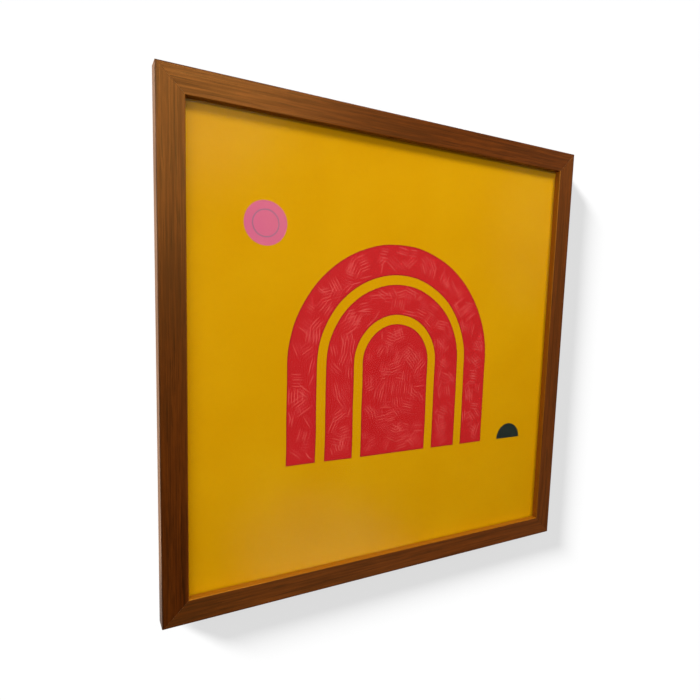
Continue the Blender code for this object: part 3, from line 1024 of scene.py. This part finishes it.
# Place as azimuth and elevation, distance, width and height, power, colour, part used
LAMPS = {
    "key": ((14, 48), 1.2, (0.36, 0.36), 8.4, WHITE, SOFT),
    "sheen": ((-19, 28), 1.2, (1.5, 0.8), 17.0, WHITE, GLOSS),
    "top_sheen": ((5, 47), 1.2, (0.40, 0.40), 7.5, (1.0, 0.82, 0.60), GLOSS),
    "side_sheen": ((40, 0), 1.2, (1.6, 2.2), 12.5, (1.0, 0.55, 0.25), GLOSS),
    "fill": ((-34, 9), 1.5, (1.8, 1.4), 13.0, WHITE, SOFT),
    "edge_glow": ((-155, 3.46), 1.5, (1.0, 2.1), 15.5, (1.0, 0.52, 0.24), GLOSS),
    "round_glow": ((-80, 22), 1.2, (1.2, 0.7), 7.5, WHITE, GLOSS),
    "low_sheen": ((18, -31), 1.2, (0.6, 0.5), 1.15, WHITE, GLOSS),
    "rear_key": ((147.26, 33.46), 1.5, (0.6, 0.6), 18.0, WHITE, WHOLE),
}

# The same for each faint patch on the glazing
WINDOWS = (
    ((3, 25), 1.3, (0.40, 0.36), 0.36, WHITE, GLOSS),
    ((50, 12), 1.3, (0.16, 0.50), 0.10, WHITE, GLOSS),
    ((20, -33), 1.3, (0.50, 0.30), 0.42, WHITE, GLOSS),
)


def towards(azimuth, elevation):
    """The direction from the picture to a place round it; azimuth runs from its front to the right."""
    azimuth, elevation = math.radians(azimuth), math.radians(elevation)
    out = math.cos(elevation)
    return Vector((math.sin(azimuth) * out, -math.cos(azimuth) * out, math.sin(elevation)))


def aim(lamp, direction):
    """Turn a lamp so that it shines along a direction."""
    lamp.rotation_euler = direction.to_track_quat("-Z", "Y").to_euler()


def lamp_group(name, pieces, state):
    """A collection of pieces that a lamp's light is tied to (INCLUDE) or keeps off (EXCLUDE)."""
    group = bpy.data.collections.new(name)
    for piece in pieces:
        group.objects.link(piece)
    for linked in group.collection_objects:
        linked.light_linking.link_state = state
    return group


def link_lamp(lamp, state, pieces):
    """Keep a lamp's light off some pieces, or on them alone."""
    lamp.light_linking.receiver_collection = lamp_group(f"{lamp.name}_receivers", pieces, state)


def pass_through(lamp, pieces):
    """Let a lamp's light through some pieces, as light from all round would reach past them."""
    lamp.light_linking.blocker_collection = lamp_group(f"{lamp.name}_blockers", pieces, "EXCLUDE")


def area_lamp(name, place, distance, size, power, colour, part):
    """A lamp with a wide face that shines at the picture's centre."""
    direction = towards(*place)
    data = bpy.data.lights.new(name, "AREA")
    data.shape = "RECTANGLE"
    data.size, data.size_y = size
    data.energy = power
    data.color = colour
    lamp = bpy.data.objects.new(name, data)
    lamp.location = CENTRE + direction * distance
    lamp.visible_diffuse = part != GLOSS
    lamp.visible_glossy = part != SOFT
    aim(lamp, -direction)
    bpy.context.scene.collection.objects.link(lamp)
    return lamp


def plane(name, corners, material):
    """A stage surface with four corners, which sends no light to the picture."""
    mesh = bpy.data.meshes.new(name)
    mesh.from_pydata(corners, [], [(0, 1, 2, 3)])
    mesh.materials.append(material)
    surface = bpy.data.objects.new(name, mesh)
    surface.visible_diffuse = False
    surface.visible_glossy = False
    surface.visible_transmission = False
    bpy.context.scene.collection.objects.link(surface)
    return surface


def wall_finish():
    """White paint seen from the room; from behind the wall it is see-through."""
    material = bpy.data.materials.new("wall_paint")
    material.use_nodes = True
    tree = material.node_tree
    tree.nodes.remove(tree.nodes["Principled BSDF"])
    paint = add(tree, "ShaderNodeBsdfDiffuse", {"Color": WALL_COLOUR})
    glow = add(tree, "ShaderNodeEmission", {"Strength": WALL_GLOW})
    front = add(tree, "ShaderNodeAddShader")
    join(tree, paint.outputs[0], front.inputs[0])
    join(tree, glow.outputs[0], front.inputs[1])
    clear = add(tree, "ShaderNodeBsdfTransparent")
    sides = add(tree, "ShaderNodeMixShader")
    join(tree, add(tree, "ShaderNodeNewGeometry").outputs["Backfacing"], sides.inputs[0])
    join(tree, front.outputs[0], sides.inputs[1])
    join(tree, clear.outputs[0], sides.inputs[2])
    join(tree, sides.outputs[0], tree.nodes["Material Output"].inputs["Surface"])
    return material


def floor_finish():
    """A pale matte floor."""
    material, tree, shader = new_material("pale_floor", 0.7, specular=0.2)
    patches = noise_at(tree, object_place(tree), scale=3.0, detail=4.0)
    join(tree, blend(tree, patches, FLOOR_DEEP, FLOOR_PALE), shader.inputs["Base Color"])
    set_values(shader, {"Emission Color": (*WHITE, 1.0), "Emission Strength": FLOOR_GLOW})
    return material


def make_stage():
    """Wall and floor; returns the wall."""
    side = WALL_WIDTH / 2
    ceiling_z = FLOOR_Z + WALL_HEIGHT
    wall = plane("stage_wall", [
        (-side, STAGE_WALL_Y, FLOOR_Z), (side, STAGE_WALL_Y, FLOOR_Z),
        (side, STAGE_WALL_Y, ceiling_z), (-side, STAGE_WALL_Y, ceiling_z),
    ], wall_finish())
    wall.visible_shadow = False
    plane("stage_floor", [
        (-side, -ROOM_DEPTH, FLOOR_Z), (side, -ROOM_DEPTH, FLOOR_Z),
        (side, ROOM_DEPTH, FLOOR_Z), (-side, ROOM_DEPTH, FLOOR_Z),
    ], floor_finish())
    return wall


def shadow_sun(wall):
    """A sun that lights the wall alone, and so casts the picture's shadow on it."""
    data = bpy.data.lights.new("shadow_sun", "SUN")
    data.energy = SHADOW_SUN_POWER
    data.angle = SHADOW_SUN_ANGLE
    sun = bpy.data.objects.new("shadow_sun", data)
    aim(sun, Vector(SHADOW_FALL))
    bpy.context.scene.collection.objects.link(sun)
    link_lamp(sun, "INCLUDE", [wall])


def make_lamps(wall, pane, rails):
    """The table's lamps, each with what it lights, the patches on the glazing, and the wall shadow."""
    top, right, bottom, left = rails
    lit = {
        "key": ("EXCLUDE", [wall]),
        "sheen": ("EXCLUDE", [wall, pane]),
        "top_sheen": ("EXCLUDE", [wall, pane]),
        "side_sheen": ("EXCLUDE", [wall, pane]),
        "fill": ("EXCLUDE", [wall]),
        "edge_glow": ("INCLUDE", rails),
        "round_glow": ("INCLUDE", [left]),
        "low_sheen": ("INCLUDE", [bottom]),
        "rear_key": ("EXCLUDE", [wall]),
    }
    for name, values in LAMPS.items():
        lamp = area_lamp(name, *values)
        link_lamp(lamp, *lit[name])
        if name == "fill":
            pass_through(lamp, [top, right])
    for index, values in enumerate(WINDOWS):
        window = area_lamp(f"window_{index}", *values)
        window.data.shape = "ELLIPSE"
        link_lamp(window, "INCLUDE", [pane])
        pass_through(window, rails)
    shadow_sun(wall)


# Camera and world

def make_camera():
    """The photograph's viewpoint."""
    place = Vector(CAMERA_PLACE) * HALF + CENTRE
    turn = (
        Matrix.Rotation(-CAMERA_YAW, 4, "Z")
        @ Matrix.Rotation(QUARTER + CAMERA_PITCH, 4, "X")
        @ Matrix.Rotation(CAMERA_ROLL, 4, "Z")
    )
    data = bpy.data.cameras.new("camera")
    data.sensor_width = SENSOR
    data.lens = FOCAL_PIXELS / IMAGE_PIXELS * SENSOR
    data.shift_x = (IMAGE_PIXELS / 2 - CENTRE_PIXEL[0]) / IMAGE_PIXELS
    data.shift_y = (CENTRE_PIXEL[1] - IMAGE_PIXELS / 2) / IMAGE_PIXELS
    data.clip_start = 0.01
    camera = bpy.data.objects.new("camera", data)
    camera.matrix_world = Matrix.Translation(place) @ turn
    bpy.context.scene.collection.objects.link(camera)
    bpy.context.scene.camera = camera


def make_world():
    """Soft room light: brighter above and behind, dim below; plain white where the camera sees it."""
    world = bpy.data.worlds.new("studio")
    world.use_nodes = True
    tree = world.node_tree
    direction = add(tree, "ShaderNodeTexCoord").outputs["Generated"]
    backward = component(tree, direction, "Y")
    overhead = spread(tree, component(tree, direction, "Z"), 0.0, 1.0, 0.03, 0.80, smooth=True)
    behind = spread(tree, backward, -0.1, 0.8, 0.0, 0.55, smooth=True)
    strength = math_node(tree, "ADD", overhead, behind)
    pale_wall = spread(tree, backward, -0.4, 0.95, smooth=True)
    dimmed = math_node(tree, "MULTIPLY", overhead, 0.3)
    mirrored = blend(tree, pale_wall, dimmed, REAR_WALL_COLOUR)
    path = add(tree, "ShaderNodeLightPath")
    lit = blend(tree, path.outputs["Is Glossy Ray"], strength, mirrored)
    seen = blend(tree, path.outputs["Is Camera Ray"], lit, WHITE)
    join(tree, seen, tree.nodes["Background"].inputs["Color"])
    bpy.context.scene.world = world


def main():
    """Make every piece, the stage, the camera and the light."""
    rails = [rail(side, name) for side, name in enumerate(SIDES)]
    pane = sheets()
    printed_design()
    hanger()
    hanger_nails()
    bumpers()
    dress_nodes("corner_nail", STEEL)
    dress_nodes("retaining_tab", BLACKENED)
    make_camera()
    make_world()
    make_lamps(make_stage(), pane, rails)
    bpy.context.scene.view_settings.view_transform = "Standard"


main()
